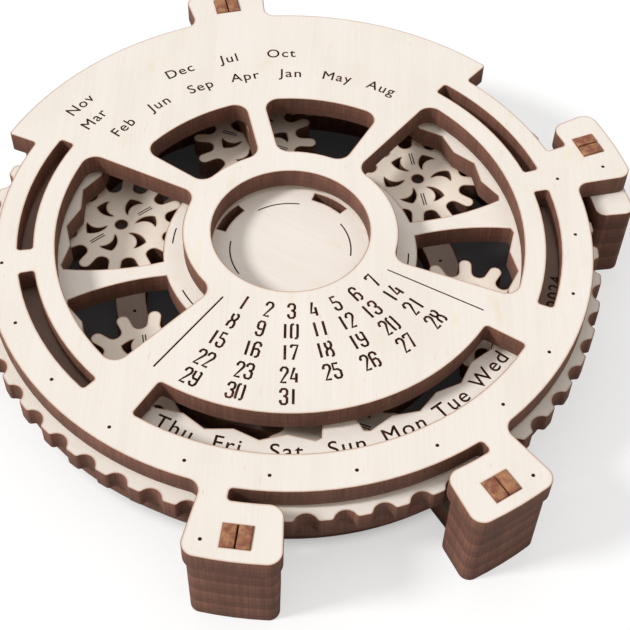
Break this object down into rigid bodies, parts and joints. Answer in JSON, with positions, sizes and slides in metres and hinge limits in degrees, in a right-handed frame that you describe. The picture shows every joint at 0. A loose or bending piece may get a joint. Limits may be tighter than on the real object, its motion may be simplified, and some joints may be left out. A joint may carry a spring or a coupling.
{
  "type": "wooden mechanical calendar",
  "caption": "Laser-cut plywood perpetual calendar: a notched day wheel turns behind a pierced dial sheet and drives small planet gears through a ring gear.",
  "frame": {"origin": "dial axis at the back face", "axes": "+Z out of the dial, +Y to twelve o'clock, +X to the right of the dial"},
  "size_m": [0.0968, 0.0975, 0.0153],
  "materials": {
    "birch_ply": "matt laser-cut birch plywood with burnt edges",
    "peg_wood": "burnt plywood edge",
    "pin_wood": "matt round wooden rod",
    "washer_wood": "matt thin plywood"
  },
  "bodies": {
    "frame": {"back_plate": "birch_ply", "centre_post": "pin_wood", "front_plate": "birch_ply", "gear_pin_1": "pin_wood", "gear_pin_2": "pin_wood", "gear_pin_3": "pin_wood", "gear_pin_4": "pin_wood", "gear_pin_5": "pin_wood", "gear_pin_6": "pin_wood", "gear_washer_1": "washer_wood", "gear_washer_2": "washer_wood", "gear_washer_3": "washer_wood", "gear_washer_4": "washer_wood", "gear_washer_5": "washer_wood", "gear_washer_6": "washer_wood", "peg_lower_left": "peg_wood", "peg_lower_right": "peg_wood", "peg_side_left": "peg_wood", "peg_side_right": "peg_wood", "peg_top": "peg_wood", "spacer_lower_left_1": "birch_ply", "spacer_lower_left_2": "birch_ply", "spacer_lower_left_3": "birch_ply", "spacer_lower_right_1": "birch_ply", "spacer_lower_right_2": "birch_ply", "spacer_lower_right_3": "birch_ply", "spacer_side_left_1": "birch_ply", "spacer_side_left_2": "birch_ply", "spacer_side_left_3": "birch_ply", "spacer_side_right_1": "birch_ply", "spacer_side_right_2": "birch_ply", "spacer_side_right_3": "birch_ply", "spacer_top_1": "birch_ply", "spacer_top_2": "birch_ply", "spacer_top_3": "birch_ply"},
    "wheel": {"day_wheel": "birch_ply", "ring_gear": "birch_ply", "hub_boss": "birch_ply"},
    "planet_1": {"planet_gear_1": "birch_ply"},
    "planet_2": {"planet_gear_2": "birch_ply"},
    "planet_3": {"planet_gear_3": "birch_ply"},
    "planet_4": {"planet_gear_4": "birch_ply"},
    "planet_5": {"planet_gear_5": "birch_ply"},
    "planet_6": {"planet_gear_6": "birch_ply"}
  },
  "joints": [
    {"name": "wheel_spin", "type": "hinge", "parent": "frame", "child": "wheel", "pos_m": [0, 0, 0.008], "axis": [0, 0, 1], "continuous": true},
    {"name": "planet_1_spin", "type": "hinge", "parent": "frame", "child": "planet_1", "pos_m": [0.02165, -0.0125, 0.004], "axis": [0, 0, 1], "continuous": true},
    {"name": "planet_2_spin", "type": "hinge", "parent": "frame", "child": "planet_2", "pos_m": [0.02165, 0.0125, 0.004], "axis": [0, 0, 1], "continuous": true},
    {"name": "planet_3_spin", "type": "hinge", "parent": "frame", "child": "planet_3", "pos_m": [0, 0.025, 0.004], "axis": [0, 0, 1], "continuous": true},
    {"name": "planet_4_spin", "type": "hinge", "parent": "frame", "child": "planet_4", "pos_m": [-0.02165, 0.0125, 0.004], "axis": [0, 0, 1], "continuous": true},
    {"name": "planet_5_spin", "type": "hinge", "parent": "frame", "child": "planet_5", "pos_m": [-0.02165, -0.0125, 0.004], "axis": [0, 0, 1], "continuous": true},
    {"name": "planet_6_spin", "type": "hinge", "parent": "frame", "child": "planet_6", "pos_m": [0, -0.025, 0.004], "axis": [0, 0, 1], "continuous": true}
  ],
  "couplings": [
    {"joint": "planet_1_spin", "follows": "wheel_spin", "ratio": 4},
    {"joint": "planet_2_spin", "follows": "wheel_spin", "ratio": 4},
    {"joint": "planet_3_spin", "follows": "wheel_spin", "ratio": 4},
    {"joint": "planet_4_spin", "follows": "wheel_spin", "ratio": 4},
    {"joint": "planet_5_spin", "follows": "wheel_spin", "ratio": 4},
    {"joint": "planet_6_spin", "follows": "wheel_spin", "ratio": 4}
  ]
}
